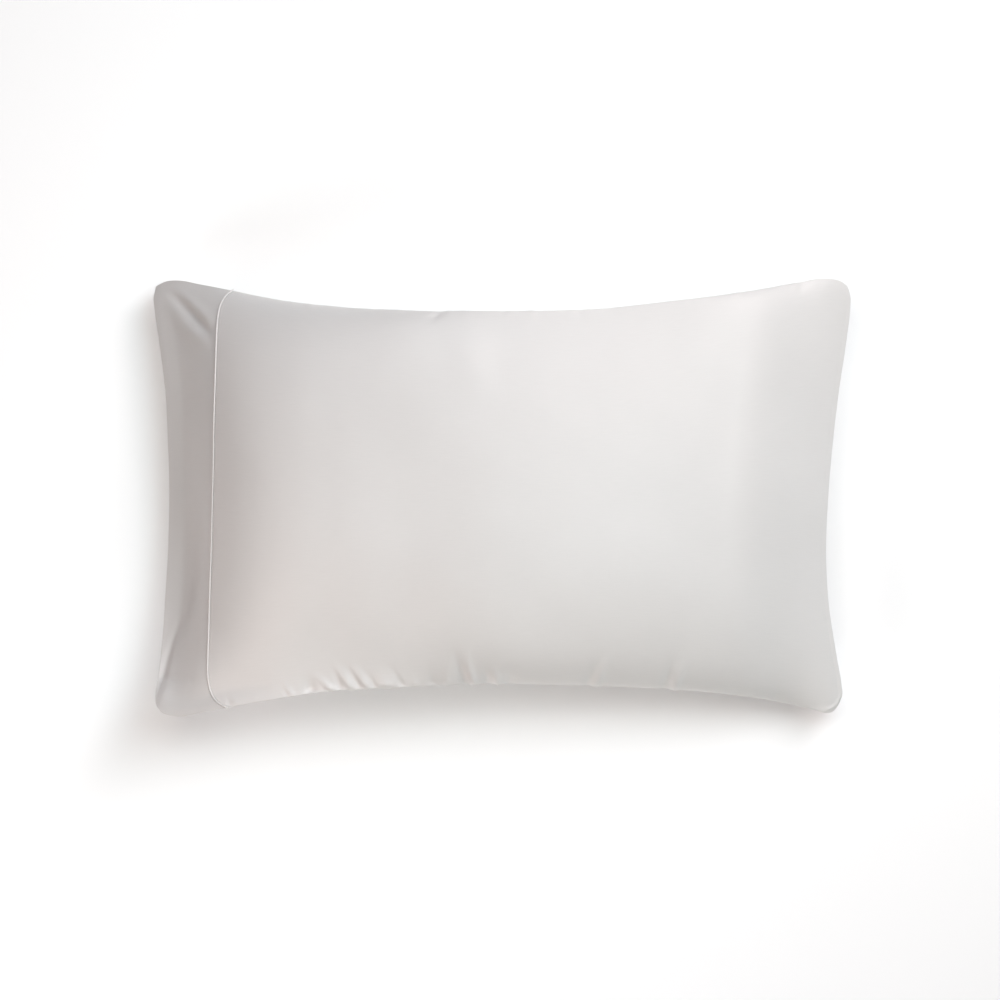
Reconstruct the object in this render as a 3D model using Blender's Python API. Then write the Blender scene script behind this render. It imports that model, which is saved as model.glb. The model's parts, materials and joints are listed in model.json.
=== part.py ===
"""A satin pillowcase with a piped hem cuff, filled with its pillow and lying on its back.

The case is cut to 508 x 762 mm (20 x 30 in). Filled, it draws in along its seams and stands
about 170 mm high. +X runs along the case from the open mouth to the sewn end, +Y across it and
+Z up. The origin is on the surface that it lies on, under the middle of its box.

Every solid is read off one skin: a place on it is given by x, the distance along the case,
by across, which runs from -1 on the front seam to 1 on the back seam, and by its side, 1 for
the upper face and -1 for the under face.
"""
import bmesh
import bpy
import numpy as np

UPPER = 1
UNDER = -1

# ---- Heights, in metres --------------------------------------------------------------------
SEAM_HEIGHT = 0.105            # side seams above the surface, half way along the case
UNDER_HANG = 3.0               # the under face would sag this many times as far as the upper rises
UNDER_ROUND = 0.5              # how full it is beside the side seams
FLOOR_BLEND = 0.018            # height over which the under face rounds into its flat rest area
END_LIFT_POWER = 4             # how late, towards the two ends, the filling's waist line drops
SIDE_POWER = 2.4               # rise across the case: 1 - across ** SIDE_POWER, then rounded
# The upper face along the middle line: share is the way from the mouth to the sewn end.
MIDDLE_LINE = (
    # share, height
    (0.000, 0.0450),
    (0.015, 0.0525),
    (0.027, 0.0590),
    (0.036, 0.0665),
    (0.046, 0.0765),
    (0.060, 0.0915),
    (0.076, 0.1065),
    (0.107, 0.1280),
    (0.137, 0.1415),
    (0.167, 0.1505),
    (0.197, 0.1565),
    (0.260, 0.1620),
    (0.350, 0.1655),
    (0.500, 0.1680),
    (0.620, 0.1615),
    (0.710, 0.1525),
    (0.790, 0.1415),
    (0.830, 0.1340),
    (0.857, 0.1290),
    (0.873, 0.1245),
    (0.890, 0.1180),
    (0.915, 0.1060),
    (0.957, 0.0830),
    (1.000, 0.0595),
)

# ---- Edges -----------------------------------------------------------------------------------
SEAM_HALF = 0.0013             # half the thickness of a pressed side seam
MOUTH_SPREAD = 0.0018          # extra half thickness of the mouth, between its corners
MOUTH_SPREAD_REACH = 0.09
SLIT_DEPTH = 0.022             # how far in the two layers of the mouth lie apart
SLIT_DEPTH_AT_CORNER = 0.001
SLIT_HALF = 0.0013             # half the gap between them, at the mouth's middle
SLIT_HALF_AT_CORNER = 0.0002
# How wide the slit is from the mouth to its end inside.
SLIT_PROFILE = (
    # way_in, opening
    (0.0, 1.0),
    (0.5, 0.8),
    (1.0, 0.0),
)
SLIT_DEPTH_POWER = 8           # how late, towards the corners, the slit runs out
SLIT_HALF_POWER = 6

# ---- Piping, and the groove that it is sewn into ----------------------------------------------
PIPING_RADIUS = 0.0010
PIPING_SIDES = 8
PIPING_STAND = 0.0004          # the cord's middle stands this much above the skin
PIPING_TURN = 0.0018           # and this much outside a side seam, where it turns round it
GROOVE_HALF_WIDTH = 0.0017
GROOVE_DEPTH = 0.0011
SEWN_GAP = 0.0005              # between the cuff and the body, inside the seam
PIPING_X = -0.3020             # the piping half way across the case
PIPING_SLANT = 0.0054          # it leans this much towards the mouth at the front
PIPING_BOW = -0.0017
PIPING_HOOK_BACK = 0.0145      # it curls this much away from the mouth at the side seams
PIPING_HOOK_FRONT = 0.0230
PIPING_HOOK_POWER = 19

CASE_LENGTH = 0.728            # between the corners, filled

# The two long seams: along is -1 at the mouth's corner and 1 at the sewn end's. The others are
# the distances of the back and the front seam from the middle line, how far they stand above
# (or below) the height that a seam has half way along, and how gently the upper face rises from
# them: 0.5 is full and steep there, and past 1 the cloth lies flat beside the seam.
SIDE_SEAMS = (
    # along,  back,   front,  back_up, front_up, back_round, front_round
    (-1.000, 0.2240, 0.2210, -0.071, -0.009, 1.25, 0.60),
    (-0.990, 0.2260, 0.2245, -0.069, -0.007, 1.23, 0.60),
    (-0.970, 0.2290, 0.2275, -0.066, -0.004, 1.20, 0.62),
    (-0.940, 0.2300, 0.2285, -0.061, -0.001, 1.15, 0.72),
    (-0.860, 0.2245, 0.2230, -0.050, 0.006, 1.00, 1.12),
    (-0.720, 0.2130, 0.2135, -0.035, 0.013, 0.65, 1.28),
    (-0.500, 0.2005, 0.2015, -0.008, 0.016, 0.52, 1.31),
    (-0.250, 0.1940, 0.1965, 0.022, 0.012, 0.70, 1.05),
    (0.000, 0.1930, 0.1940, 0.027, -0.002, 1.00, 0.58),
    (0.250, 0.1950, 0.1970, 0.023, -0.016, 1.02, 0.51),
    (0.450, 0.2020, 0.2000, 0.020, -0.024, 0.97, 0.50),
    (0.700, 0.2145, 0.2085, 0.009, -0.041, 0.75, 0.50),
    (0.860, 0.2255, 0.2190, -0.013, -0.060, 0.65, 0.52),
    (0.930, 0.2290, 0.2245, -0.020, -0.059, 0.66, 0.62),
    (0.970, 0.2280, 0.2280, -0.026, -0.059, 0.73, 0.85),
    (0.990, 0.2250, 0.2250, -0.030, -0.060, 0.78, 1.05),
    (1.000, 0.2220, 0.2200, -0.032, -0.060, 0.80, 1.15),
)
BACK, FRONT, BACK_UP, FRONT_UP, BACK_ROUND, FRONT_ROUND = 1, 2, 3, 4, 5, 6
# The two short ends: across is -1 at the front corner and 1 at the back one, and the others
# are how far the mouth and the sewn end stand from the middle of the case.
ENDS = (
    # across,  mouth, sewn_end
    (-1.000, 0.3600, 0.3560),
    (-0.985, 0.3615, 0.3575),
    (-0.950, 0.3625, 0.3600),
    (-0.900, 0.3620, 0.3590),
    (-0.750, 0.3600, 0.3530),
    (-0.500, 0.3565, 0.3445),
    (-0.200, 0.3530, 0.3420),
    (0.000, 0.3520, 0.3440),
    (0.250, 0.3535, 0.3490),
    (0.500, 0.3560, 0.3550),
    (0.750, 0.3635, 0.3630),
    (0.900, 0.3685, 0.3665),
    (0.950, 0.3695, 0.3665),
    (0.985, 0.3680, 0.3645),
    (1.000, 0.3675, 0.3630),
)
# Puckers where the drawn-in seams gather the cloth: where each stands on its seam, which seam
# (-1 front, 1 back), how far it reaches in, how far it leans along the case on the way, its
# half width and its height (a trough is negative).
PUCKERS = (
    # along,  seam, reach,  lean,  half_width, height
    (-0.2780, -1, 0.020, -0.008, 0.0040, 0.0006),
    (-0.2190, -1, 0.016, -0.009, 0.0035, 0.0020),
    (-0.1985, -1, 0.020, -0.005, 0.0050, -0.0040),
    (-0.1780, -1, 0.026, -0.014, 0.0046, 0.0036),
    (-0.1575, -1, 0.034, -0.017, 0.0044, 0.0036),
    (-0.1410, -1, 0.034, -0.014, 0.0042, 0.0034),
    (-0.1180, -1, 0.020, -0.004, 0.0090, 0.0034),
    (-0.0930, -1, 0.024, -0.004, 0.0050, -0.0024),
    (-0.0560, -1, 0.030, 0.002, 0.0050, 0.0018),
    (-0.0400, -1, 0.040, -0.006, 0.0050, -0.0038),
    (-0.0290, -1, 0.040, -0.011, 0.0042, 0.0036),
    (-0.0040, -1, 0.018, -0.003, 0.0060, 0.0026),
    (0.0870, -1, 0.040, 0.014, 0.0050, -0.0030),
    (0.0980, -1, 0.040, 0.014, 0.0050, 0.0028),
    (0.1690, -1, 0.040, 0.013, 0.0050, -0.0028),
    (0.1800, -1, 0.042, 0.013, 0.0050, 0.0030),
    (-0.0640, 1, 0.022, -0.016, 0.0050, -0.0020),
    (0.0300, 1, 0.014, 0.004, 0.0050, 0.0012),
    (0.0800, 1, 0.014, 0.004, 0.0050, -0.0012),
    (0.3150, 1, 0.016, -0.006, 0.0050, -0.0016),
)
# Folds on the upper face, from a start to an end, seen from above. On the cuff: two ridges and
# a trough that fan out of the back corner, and the crease along the lip to the front corner.
# On the body: a broad shallow ridge off the back seam, and a short crease at its root.
FOLDS = (
    # start_x, start_y,  end_x,   end_y, half_width, height
    (-0.3610, 0.2170, -0.3070, 0.1580, 0.0065, 0.0026),
    (-0.3580, 0.2200, -0.3050, 0.1700, 0.0042, -0.0030),
    (-0.3550, 0.2220, -0.3030, 0.1820, 0.0052, 0.0020),
    (-0.3630, -0.2180, -0.3340, -0.1000, 0.0090, -0.0040),
    (-0.3390, -0.1300, -0.3290, 0.0150, 0.0070, -0.0014),
    (-0.0480, 0.2100, -0.0180, 0.0900, 0.0200, 0.0014),
    (-0.0800, 0.1840, -0.0580, 0.1940, 0.0040, -0.0014),
)
FOLD_EASE = 0.7                # how bluntly a fold starts and ends
PUCKER_AT_SEAM = 0.3           # share of a pucker's height that reaches the seam itself
PUCKER_SWELL = 0.25            # share of its reach over which the rest comes in

# ---- Fineness of the solids -------------------------------------------------------------------
ACROSS_STEPS = 30
CUFF_STEPS = 7
# Stations along the body, from the piping to the sewn end: where each stretch ends, as a share
# of the way, and in how many steps. The stretches with puckers have the short steps.
BODY_STRETCHES = (
    # end,  steps
    (0.11, 7),
    (0.45, 34),
    (0.58, 6),
    (0.76, 13),
    (0.92, 7),
    (1.00, 8),
)

SATIN_COLOUR = (0.80, 0.785, 0.77, 1.0)
SATIN_ROUGHNESS = 0.42
PIPING_COLOUR = (0.88, 0.865, 0.85, 1.0)
PIPING_ROUGHNESS = 0.35
SHARP_ANGLE = 50               # degrees between faces, from which an edge is a corner
SLOPE_STEP_X = 0.0005          # steps over which the skin's slopes are measured
SLOPE_STEP_ACROSS = 0.004


def smooth_column(rows, column, at):
    """A table's column at the places in at: cubics through its rows, with matching slopes."""
    table = np.array(rows)
    knots, values = table[:, 0], table[:, column]
    slopes = np.gradient(values, knots)
    first = np.clip(np.searchsorted(knots, at) - 1, 0, len(knots) - 2)
    span = knots[first + 1] - knots[first]
    t = (at - knots[first]) / span
    start, end = values[first], values[first + 1]
    into, out_of = slopes[first] * span, slopes[first + 1] * span
    return (
        start * (1 + 2 * t) * (1 - t) ** 2
        + into * t * (1 - t) ** 2
        + end * (3 - 2 * t) * t ** 2
        + out_of * t ** 2 * (t - 1)
    )


def mouth_x(across):
    return -smooth_column(ENDS, 1, across)


def sewn_end_x(across):
    return smooth_column(ENDS, 2, across)


def piping_x(across):
    """The piping's place along the case: slanted, bowed, and curled at the two side seams."""
    hook = np.where(across > 0, PIPING_HOOK_BACK, PIPING_HOOK_FRONT)
    return (
        PIPING_X + PIPING_SLANT * across + PIPING_BOW * across ** 2
        + hook * np.abs(across) ** PIPING_HOOK_POWER
    )


def groove_width(across):
    """Half the groove's width along x: wider where the piping runs aslant to the case."""
    low = np.maximum(across - SLOPE_STEP_ACROSS, -1)
    high = np.minimum(across + SLOPE_STEP_ACROSS, 1)
    slant = (piping_x(high) - piping_x(low)) / (high - low) / SIDE_SEAMS[0][BACK]
    return GROOVE_HALF_WIDTH * np.sqrt(1 + slant ** 2)


def side_rise(across, along, side):
    """Share of the rise across the case, none at the two side seams."""
    rounding = UNDER_ROUND
    if side == UPPER:
        rounding = np.where(
            across > 0,
            smooth_column(SIDE_SEAMS, BACK_ROUND, along),
            smooth_column(SIDE_SEAMS, FRONT_ROUND, along),
        )
    return np.clip(1 - np.abs(across) ** SIDE_POWER, 0, 1) ** rounding


def bare_skin(x, across, side):
    """Points of the filled case before it puckers.

    The waist is the sheet that the four edges lie in. The upper face rises from it to the
    middle line's height, and the under face hangs from it down to the surface that it lies on.
    """
    mouth, sewn = mouth_x(across), sewn_end_x(across)
    share = np.clip((x - mouth) / (sewn - mouth), 0, 1)
    along = 2 * share - 1
    back = smooth_column(SIDE_SEAMS, BACK, along)
    front = -smooth_column(SIDE_SEAMS, FRONT, along)
    to_back = (across + 1) / 2
    y = front + (back - front) * to_back

    end_height = np.where(along < 0, MIDDLE_LINE[0][1], MIDDLE_LINE[-1][1])
    middle_waist = SEAM_HEIGHT + (end_height - SEAM_HEIGHT) * along ** END_LIFT_POWER
    seam_up = (
        smooth_column(SIDE_SEAMS, BACK_UP, along) * to_back
        + smooth_column(SIDE_SEAMS, FRONT_UP, along) * (1 - to_back)
    )
    waist = middle_waist + (SEAM_HEIGHT + seam_up - middle_waist) * across ** 2
    spread = np.clip(1 - (x - mouth) / MOUTH_SPREAD_REACH, 0, 1) ** 2
    edge = SEAM_HALF + MOUTH_SPREAD * (1 - across ** 4) * spread
    rise = (smooth_column(MIDDLE_LINE, 1, share) - middle_waist) * side_rise(across, along, side)
    if side == UPPER:
        return np.stack([x, y, waist + edge + rise], -1)
    hang = waist - edge - UNDER_HANG * rise
    blended = (hang + FLOOR_BLEND) ** 2 / (4 * FLOOR_BLEND)
    settled = np.where(hang > FLOOR_BLEND, hang, np.where(hang < -FLOOR_BLEND, 0, blended))
    return np.stack([x, y, settled], -1)


def outward(x, across, side):
    """Unit normals of the bare skin, from its slopes along x and along across."""
    low_x = np.maximum(x - SLOPE_STEP_X, mouth_x(across))
    high_x = np.minimum(x + SLOPE_STEP_X, sewn_end_x(across))
    low = np.maximum(across - SLOPE_STEP_ACROSS, -1)
    high = np.minimum(across + SLOPE_STEP_ACROSS, 1)
    along_case = bare_skin(high_x, across, side) - bare_skin(low_x, across, side)
    over_case = bare_skin(x, high, side) - bare_skin(x, low, side)
    normal = side * np.cross(along_case, over_case)
    return normal / np.linalg.norm(normal, axis=-1, keepdims=True)


def pucker_height(points, side):
    """Puckers: Gaussian ridges that swell off a side seam and die away with the square.

    The way in from the seam is measured across the case, and on the under face also down it.
    """
    x, y, z = points[..., 0], points[..., 1], points[..., 2]
    total = np.zeros_like(x)
    along = np.clip(2 * x / CASE_LENGTH, -1, 1)
    for start, seam, reach, lean, half_width, height in PUCKERS:
        edge, up = (BACK, BACK_UP) if seam > 0 else (FRONT, FRONT_UP)
        inside = smooth_column(SIDE_SEAMS, edge, along) - seam * y
        if side == UNDER:
            inside = inside + SEAM_HEIGHT + smooth_column(SIDE_SEAMS, up, along) - z
        way_in = np.clip(inside / reach, 0, 1)
        swell = np.sin(np.pi / 2 * np.clip(way_in / PUCKER_SWELL, 0, 1))
        size = height * (PUCKER_AT_SEAM + (1 - PUCKER_AT_SEAM) * swell) * (1 - way_in) ** 2
        sideways = (x - start - lean * way_in) / half_width
        total += size * np.exp(-sideways ** 2)
    return total


def fold_height(points):
    """Folds: Gaussian ridges and troughs along straight lines, easing in and out."""
    total = np.zeros(points.shape[:-1])
    for start_x, start_y, end_x, end_y, half_width, height in FOLDS:
        run = np.array([end_x - start_x, end_y - start_y])
        length = np.linalg.norm(run)
        offset = points[..., :2] - np.array([start_x, start_y])
        share = offset @ run / length ** 2
        sideways = (offset[..., 0] * run[1] - offset[..., 1] * run[0]) / length / half_width
        ease = np.sin(np.pi * np.clip(share, 0, 1)) ** FOLD_EASE
        total += height * np.exp(-sideways ** 2) * ease
    return total


def skin(x, across, side, lift=0.0):
    """Points of the case's skin, puckered and folded, and lifted off it by a distance."""
    points = bare_skin(x, across, side)
    relief = pucker_height(points, side) * np.clip(points[..., 2] / FLOOR_BLEND, 0, 1)
    if side == UPPER:
        relief = relief + fold_height(points)
    return points + outward(x, across, side) * (relief + lift)[..., None]


def sunk(x, across):
    """How far the piping sinks into the under face where the case rests on it. The groove there
    is this much deeper and wider too."""
    height = bare_skin(x, across, UNDER)[..., 2]
    return (PIPING_RADIUS + PIPING_STAND) * np.clip(1 - height / FLOOR_BLEND, 0, 1)


def across_stations():
    """Places across the case, closer together towards the seams, where the skin is steep."""
    return np.sin(np.linspace(-np.pi / 2, np.pi / 2, ACROSS_STEPS + 1))


def body_stations():
    """Shares of the way from the piping to the sewn end."""
    shares = [np.zeros(1)]
    start = 0.0
    for end, steps in BODY_STRETCHES:
        shares.append(np.linspace(start, end, steps + 1)[1:])
        start = end
    return np.concatenate(shares)


def add_sheet(shell, points):
    """Add a grid of points to the shell as quads, a row for each line of the grid."""
    rows, columns = points.shape[:2]
    corners = [shell.verts.new(point) for point in points.reshape(-1, 3)]
    for row in range(rows - 1):
        for column in range(columns - 1):
            here = row * columns + column
            ring = (here, here + 1, here + columns + 1, here + columns)
            shell.faces.new([corners[index] for index in ring])


def finish_solid(shell, name, material):
    """Weld the sheets of a shell into one closed solid and place it in the scene."""
    bmesh.ops.remove_doubles(shell, verts=shell.verts, dist=0.000001)
    bmesh.ops.recalc_face_normals(shell, faces=shell.faces)
    mesh = bpy.data.meshes.new(name)
    shell.to_mesh(mesh)
    shell.free()
    mesh.shade_smooth()
    mesh.set_sharp_from_angle(angle=np.radians(SHARP_ANGLE))
    mesh.materials.append(material)
    piece = bpy.data.objects.new(name, mesh)
    bpy.context.scene.collection.objects.link(piece)
    return piece


def make_material(name, colour, roughness):
    material = bpy.data.materials.new(name)
    material.use_nodes = True
    shader = material.node_tree.nodes["Principled BSDF"]
    shader.inputs["Base Color"].default_value = colour
    shader.inputs["Roughness"].default_value = roughness
    shader.inputs["Metallic"].default_value = 0.0
    return material


def make_body(satin):
    """The body of the case: both faces from the piping to the sewn end, as one filled solid."""
    across = across_stations()
    edge = piping_x(across) + SEWN_GAP / 2
    rim = edge + groove_width(across)
    share = body_stations()[:, None]
    x = np.vstack([edge, rim + share * (sewn_end_x(across) - rim)])
    lift = np.zeros_like(x)
    lift[0] = -GROOVE_DEPTH
    spread = np.broadcast_to(across, x.shape)
    upper = skin(x, spread, UPPER, lift)
    sinking = sunk(edge, across)
    x[1] += sinking
    lift[0] -= sinking
    under = skin(x, spread, UNDER, lift)

    shell = bmesh.new()
    add_sheet(shell, upper)
    add_sheet(shell, under)
    for border in (np.s_[:, 0], np.s_[:, -1], np.s_[0], np.s_[-1]):
        add_sheet(shell, np.stack([upper[border], under[border]]))
    return finish_solid(shell, "case_body", satin)


def make_cuff(satin):
    """The cuff: both layers from the mouth to the piping, apart at the mouth by its slit."""
    across = across_stations()
    mouth = mouth_x(across)
    edge = piping_x(across) - SEWN_GAP / 2
    rim = edge - groove_width(across)
    depth = SLIT_DEPTH_AT_CORNER + SLIT_DEPTH * (1 - np.abs(across) ** SLIT_DEPTH_POWER)
    half_gap = SLIT_HALF_AT_CORNER + SLIT_HALF * (1 - np.abs(across) ** SLIT_HALF_POWER)
    share = np.linspace(0, 1, CUFF_STEPS + 1)[1:, None]
    way_in, opening = np.array(SLIT_PROFILE).T[..., None]
    slit_rows = len(SLIT_PROFILE)
    slit_x = mouth + way_in * depth
    x = np.vstack([slit_x, slit_x[-1] + share * (rim - slit_x[-1]), edge])
    lift = np.zeros_like(x)
    lift[-1] = -GROOVE_DEPTH
    spread = np.broadcast_to(across, x.shape)
    upper = skin(x, spread, UPPER, lift)
    sinking = sunk(edge, across)
    x[-2] -= sinking
    lift[-1] -= sinking
    under = skin(x, spread, UNDER, lift)

    middle = (upper + under) / 2
    apart = np.zeros_like(middle[:slit_rows])
    apart[..., 2] = opening * half_gap
    slit_upper, slit_under = middle[:slit_rows] + apart, middle[:slit_rows] - apart

    shell = bmesh.new()
    for sheet in (upper, under, slit_upper, slit_under):
        add_sheet(shell, sheet)
    for layer, lining in ((upper, slit_upper), (under, slit_under)):
        add_sheet(shell, np.stack([layer[0], lining[0]]))
        for seam in (0, -1):
            add_sheet(shell, np.stack([layer[:slit_rows, seam], lining[:, seam]]))
    for border in (np.s_[slit_rows - 1:, 0], np.s_[slit_rows - 1:, -1], np.s_[-1]):
        add_sheet(shell, np.stack([upper[border], middle[border], under[border]]))
    return finish_solid(shell, "hem_cuff", satin)


def make_piping(cord_cloth):
    """The piping: a round cord carried once round the case, over its two faces."""
    across = across_stations()
    x = piping_x(across)
    stand = np.full_like(x, PIPING_STAND)
    over = skin(x, across, UPPER, stand)
    back_under = skin(x, across, UNDER, stand - sunk(x, across))[::-1]
    over_normals, under_normals = outward(x, across, UPPER), outward(x, across, UNDER)[::-1]
    turn_out = np.array([[0, 1, 0], [0, -1, 0]])
    turns = (over[[-1, 0]] + back_under[[0, -1]]) / 2 + PIPING_TURN * turn_out
    path = np.concatenate([over, turns[:1], back_under, turns[1:]])
    normals = np.concatenate([over_normals, turn_out[:1], under_normals, turn_out[1:]])

    ahead = np.roll(path, -1, axis=0) - path
    ahead /= np.linalg.norm(ahead, axis=1, keepdims=True)
    tangent = ahead + np.roll(ahead, 1, axis=0)
    tangent /= np.linalg.norm(tangent, axis=1, keepdims=True)
    normals -= tangent * np.sum(normals * tangent, axis=1, keepdims=True)
    normals /= np.linalg.norm(normals, axis=1, keepdims=True)
    sideways = np.cross(tangent, normals)
    turn = np.linspace(0, 2 * np.pi, PIPING_SIDES + 1)[:, None, None]
    tube = path + PIPING_RADIUS * (np.cos(turn) * normals + np.sin(turn) * sideways)

    shell = bmesh.new()
    add_sheet(shell, np.concatenate([tube, tube[:, :1]], axis=1))
    return finish_solid(shell, "cuff_piping", cord_cloth)


def main():
    for leftover in list(bpy.data.objects):
        bpy.data.objects.remove(leftover)
    satin = make_material("satin", SATIN_COLOUR, SATIN_ROUGHNESS)
    cord_cloth = make_material("piping_satin", PIPING_COLOUR, PIPING_ROUGHNESS)
    make_body(satin)
    make_cuff(satin)
    make_piping(cord_cloth)


main()
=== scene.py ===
"""The looks of a satin pillowcase with a piped hem cuff, filled with its pillow.

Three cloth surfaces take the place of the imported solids: the body, the cuff and the piping cord,
with the thread that sews them together. They lie on one skin, the solids' own, and carry what is
finer than a solid: puckers along the drawn-in seams, creases of the cuff, the seam line at the
sewn end, the unevenness of the filling and the satin itself. Sizes are in metres.
"""
import json

import bmesh
import bpy
import numpy as np
from bpy.props import FloatProperty, FloatVectorProperty, IntProperty, PointerProperty
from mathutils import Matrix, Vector

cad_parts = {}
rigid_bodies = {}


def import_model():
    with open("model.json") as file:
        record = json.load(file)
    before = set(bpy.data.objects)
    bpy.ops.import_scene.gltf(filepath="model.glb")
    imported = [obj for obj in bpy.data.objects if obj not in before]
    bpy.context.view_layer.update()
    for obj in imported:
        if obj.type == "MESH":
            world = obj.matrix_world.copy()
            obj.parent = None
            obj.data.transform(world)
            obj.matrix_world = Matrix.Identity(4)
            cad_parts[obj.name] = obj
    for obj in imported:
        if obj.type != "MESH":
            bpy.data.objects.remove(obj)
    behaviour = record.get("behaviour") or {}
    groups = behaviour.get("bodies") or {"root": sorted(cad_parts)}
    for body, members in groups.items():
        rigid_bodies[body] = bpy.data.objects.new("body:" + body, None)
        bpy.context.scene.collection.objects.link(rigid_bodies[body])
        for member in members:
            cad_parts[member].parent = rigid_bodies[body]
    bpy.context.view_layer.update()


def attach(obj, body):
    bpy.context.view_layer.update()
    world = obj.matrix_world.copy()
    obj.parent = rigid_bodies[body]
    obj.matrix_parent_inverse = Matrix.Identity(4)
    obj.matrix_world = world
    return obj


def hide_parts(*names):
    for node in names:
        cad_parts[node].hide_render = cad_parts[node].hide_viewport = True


bl_info = {
    "name": "Filled Pillowcase",
    "version": (1, 0, 0),
    "blender": (4, 5, 0),
    "location": "View3D > Sidebar > Pillowcase",
    "description": "A satin pillowcase with a piped cuff, filled with its pillow",
    "category": "Object",
}

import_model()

UPPER = 1
UNDER = -1

# ---- The case's skin, as its solids have it ---------------------------------------------------
SEAM_HEIGHT = 0.105            # side seams above the surface, half way along the case
UNDER_HANG = 3.0               # the under face would sag this many times as far as the upper rises
UNDER_ROUND = 0.5              # how full it is beside the side seams
FLOOR_BLEND = 0.018            # height over which the under face rounds into its flat rest area
END_LIFT_POWER = 4             # how late, towards the two ends, the filling's waist line drops
SIDE_POWER = 2.4               # rise across the case: 1 - across ** SIDE_POWER, then rounded
# The upper face along the middle line: share is the way from the mouth to the sewn end.
MIDDLE_LINE = (
    # share, height
    (0.000, 0.0450),
    (0.015, 0.0525),
    (0.027, 0.0590),
    (0.036, 0.0665),
    (0.046, 0.0765),
    (0.060, 0.0915),
    (0.076, 0.1065),
    (0.107, 0.1280),
    (0.137, 0.1415),
    (0.167, 0.1505),
    (0.197, 0.1565),
    (0.260, 0.1620),
    (0.350, 0.1655),
    (0.500, 0.1680),
    (0.620, 0.1615),
    (0.710, 0.1525),
    (0.790, 0.1415),
    (0.830, 0.1340),
    (0.857, 0.1290),
    (0.873, 0.1245),
    (0.890, 0.1180),
    (0.915, 0.1060),
    (0.957, 0.0830),
    (1.000, 0.0595),
)
# The two long seams: along is -1 at the mouth's corner and 1 at the sewn end's. The others are
# the distances of the back and the front seam from the middle line, how far they stand above
# (or below) the height that a seam has half way along, and how gently the upper face rises from
# them: 0.5 is full and steep there, and past 1 the cloth lies flat beside the seam.
SIDE_SEAMS = (
    # along,  back,   front,  back_up, front_up, back_round, front_round
    (-1.000, 0.2240, 0.2210, -0.071, -0.009, 1.25, 0.60),
    (-0.990, 0.2260, 0.2245, -0.069, -0.007, 1.23, 0.60),
    (-0.970, 0.2290, 0.2275, -0.066, -0.004, 1.20, 0.62),
    (-0.940, 0.2300, 0.2285, -0.061, -0.001, 1.15, 0.72),
    (-0.860, 0.2245, 0.2230, -0.050, 0.006, 1.00, 1.12),
    (-0.720, 0.2130, 0.2135, -0.035, 0.013, 0.65, 1.28),
    (-0.500, 0.2005, 0.2015, -0.008, 0.016, 0.52, 1.31),
    (-0.250, 0.1940, 0.1965, 0.022, 0.012, 0.70, 1.05),
    (0.000, 0.1930, 0.1940, 0.027, -0.002, 1.00, 0.58),
    (0.250, 0.1950, 0.1970, 0.023, -0.016, 1.02, 0.51),
    (0.450, 0.2020, 0.2000, 0.020, -0.024, 0.97, 0.50),
    (0.700, 0.2145, 0.2085, 0.009, -0.041, 0.75, 0.50),
    (0.860, 0.2255, 0.2190, -0.013, -0.060, 0.65, 0.52),
    (0.930, 0.2290, 0.2245, -0.020, -0.059, 0.66, 0.62),
    (0.970, 0.2280, 0.2280, -0.026, -0.059, 0.73, 0.85),
    (0.990, 0.2250, 0.2250, -0.030, -0.060, 0.78, 1.05),
    (1.000, 0.2220, 0.2200, -0.032, -0.060, 0.80, 1.15),
)
BACK, FRONT, BACK_UP, FRONT_UP, BACK_ROUND, FRONT_ROUND = 1, 2, 3, 4, 5, 6
# The two short ends: across is -1 at the front corner and 1 at the back one, and the others
# are how far the mouth and the sewn end stand from the middle of the case.
ENDS = (
    # across,  mouth, sewn_end
    (-1.000, 0.3600, 0.3560),
    (-0.985, 0.3615, 0.3575),
    (-0.950, 0.3625, 0.3600),
    (-0.900, 0.3620, 0.3590),
    (-0.750, 0.3600, 0.3530),
    (-0.500, 0.3565, 0.3445),
    (-0.200, 0.3530, 0.3420),
    (0.000, 0.3520, 0.3440),
    (0.250, 0.3535, 0.3490),
    (0.500, 0.3560, 0.3550),
    (0.750, 0.3635, 0.3630),
    (0.900, 0.3685, 0.3665),
    (0.950, 0.3695, 0.3665),
    (0.985, 0.3680, 0.3645),
    (1.000, 0.3675, 0.3630),
)
SEAM_HALF = 0.0013             # half the thickness of a pressed side seam
SEAM_NOSE = 0.0002             # how far the folded edge of a seam stands out round
MOUTH_SPREAD = 0.0018          # extra half thickness of the mouth, between its corners
MOUTH_SPREAD_REACH = 0.09
SLIT_DEPTH = 0.022             # how far in the two layers of the mouth lie apart
SLIT_HALF = 0.0015             # half the gap between them, at the mouth's middle
SLIT_PROFILE = (
    # way_in, opening
    (0.00, 1.00),
    (0.25, 0.97),
    (0.50, 0.80),
    (0.80, 0.42),
    (1.00, 0.00),
)
SLIT_DEPTH_POWER = 8           # how late, towards the corners, the slit runs out
SLIT_HALF_POWER = 6
PIPING_STAND = 0.0001          # the cord's middle stands this much above the skin
PIPING_TURN = 0.0008           # and this much outside a side seam, where it turns round it
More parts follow.
